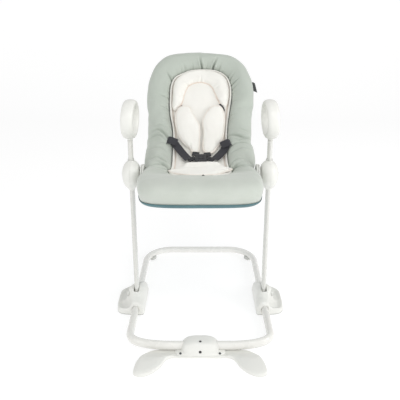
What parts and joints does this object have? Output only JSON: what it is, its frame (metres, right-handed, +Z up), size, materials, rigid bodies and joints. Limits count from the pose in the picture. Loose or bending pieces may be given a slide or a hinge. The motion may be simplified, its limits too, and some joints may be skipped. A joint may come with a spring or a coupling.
{
  "type": "baby bouncer",
  "caption": "Height-adjustable baby bouncer: padded reclining seat with harness between two upright posts on a folding floor loop.",
  "frame": {"origin": "middle of the overall footprint, on the floor", "axes": "+Z up, +X to the right of the seat seen from its front, the front of the seat faces -Y"},
  "size_m": [0.57, 0.77, 0.8113],
  "materials": {
    "white_tube": "satin warm white enamel",
    "white_plastic": "smooth moulded warm white",
    "soft_rubber": "matt light grey",
    "steel": "plain",
    "grey_plastic": "fine matt texture",
    "sage_fabric": "satin woven cover, padded",
    "teal_fabric": "plain woven underside",
    "cream_fabric": "soft knitted pad",
    "black_webbing": "ribbed webbing",
    "black_plastic": "semi gloss",
    "tag_fabric": "bare woven tag"
  },
  "bodies": {
    "base": {"front_base_tube": "white_tube", "rear_base_tube": "white_tube", "left_housing": "white_plastic", "right_housing": "white_plastic", "left_sole": "soft_rubber", "right_sole": "soft_rubber", "left_pivot_pin": "steel", "right_pivot_pin": "steel", "front_foot": "white_plastic", "clamp_cover": "white_plastic", "clamp_screw_1": "steel", "clamp_screw_2": "steel", "clamp_screw_3": "steel", "clamp_screw_4": "steel", "left_rear_foot": "soft_rubber", "right_rear_foot": "soft_rubber"},
    "left_fold_release": {"left_fold_button": "grey_plastic"},
    "right_fold_release": {"right_fold_button": "grey_plastic"},
    "posts": {"left_upright_tube": "white_tube", "left_knuckle": "white_plastic", "left_handle": "white_plastic", "right_upright_tube": "white_tube", "right_knuckle": "white_plastic", "right_handle": "white_plastic"},
    "carriage": {"left_slider_outer": "white_plastic", "left_slider_inner": "white_plastic", "left_slider_guide": "grey_plastic", "left_slider_screw": "steel", "right_slider_outer": "white_plastic", "right_slider_inner": "white_plastic", "right_slider_guide": "grey_plastic", "right_slider_screw": "steel"},
    "left_height_release": {"left_height_button": "grey_plastic", "left_button_spring": "steel"},
    "right_height_release": {"right_height_button": "grey_plastic", "right_button_spring": "steel"},
    "left_brake": {"left_brake_shoe": "soft_rubber"},
    "right_brake": {"right_brake_shoe": "soft_rubber"},
    "hubs": {"left_hub_disc": "grey_plastic", "right_hub_disc": "grey_plastic"},
    "seat": {"seat_frame_tube": "white_tube", "left_hub_plate": "grey_plastic", "right_hub_plate": "grey_plastic", "seat_panel": "teal_fabric", "seat_bolster": "sage_fabric", "seat_insert": "cream_fabric", "head_support": "cream_fabric", "left_shoulder_pad": "cream_fabric", "right_shoulder_pad": "cream_fabric", "crotch_flap": "cream_fabric", "left_waist_strap": "black_webbing", "right_waist_strap": "black_webbing", "left_buckle_tongue": "black_plastic", "right_buckle_tongue": "black_plastic", "buckle_housing": "black_plastic", "side_tag": "tag_fabric", "recline_bracket": "grey_plastic"},
    "recline_grip": {"recline_lever": "grey_plastic"},
    "buckle_release": {"buckle_button": "black_plastic"}
  },
  "joints": [
    {"name": "fold", "type": "hinge", "parent": "base", "child": "posts", "pos_m": [0, -0.03495, 0.05], "axis": [1, 0, 0], "range_deg": [-76, 0]},
    {"name": "height", "type": "slide", "parent": "posts", "child": "carriage", "axis": [0, 0.061, 0.9981], "range_m": [-0.2, 0.04]},
    {"name": "seat_fold_tilt", "type": "hinge", "parent": "carriage", "child": "hubs", "pos_m": [0, -0.00931, 0.46922], "axis": [1, 0, 0], "range_deg": [0, 56.24]},
    {"name": "recline", "type": "hinge", "parent": "hubs", "child": "seat", "pos_m": [0, -0.00931, 0.46922], "axis": [1, 0, 0], "range_deg": [-10, 10]},
    {"name": "recline_lever_pull", "type": "hinge", "parent": "seat", "child": "recline_grip", "pos_m": [0, 0.33712, 0.70277], "axis": [1, 0, 0], "range_deg": [0, 22], "stiffness_Nm_per_rad": 0.8, "springref_deg": -11.46},
    {"name": "buckle_press", "type": "slide", "parent": "seat", "child": "buckle_release", "axis": [0, 0.415, -0.9098], "range_m": [0, 0.0025], "stiffness_N_per_m": 700, "springref_m": -0.002},
    {"name": "left_fold_release_press", "type": "slide", "parent": "base", "child": "left_fold_release", "axis": [1, 0, 0], "range_m": [0, 0.004], "stiffness_N_per_m": 800, "springref_m": -0.003},
    {"name": "left_height_release_press", "type": "slide", "parent": "carriage", "child": "left_height_release", "axis": [1, 0, 0], "range_m": [0, 0.0035], "stiffness_N_per_m": 900, "springref_m": -0.003, "deforming": ["left_button_spring"]},
    {"name": "left_brake_lift", "type": "slide", "parent": "carriage", "child": "left_brake", "axis": [-1, 0, 0], "range_m": [0, 0.0014]},
    {"name": "right_fold_release_press", "type": "slide", "parent": "base", "child": "right_fold_release", "axis": [-1, 0, 0], "range_m": [0, 0.004], "stiffness_N_per_m": 800, "springref_m": -0.003},
    {"name": "right_height_release_press", "type": "slide", "parent": "carriage", "child": "right_height_release", "axis": [-1, 0, 0], "range_m": [0, 0.0035], "stiffness_N_per_m": 900, "springref_m": -0.003, "deforming": ["right_button_spring"]},
    {"name": "right_brake_lift", "type": "slide", "parent": "carriage", "child": "right_brake", "axis": [1, 0, 0], "range_m": [0, 0.0014]}
  ],
  "couplings": [
    {"joint": "seat_fold_tilt", "follows": "fold", "ratio": -0.74},
    {"joint": "left_brake_lift", "follows": "left_height_release_press", "ratio": 0.4},
    {"joint": "right_brake_lift", "follows": "right_height_release_press", "ratio": 0.4}
  ]
}
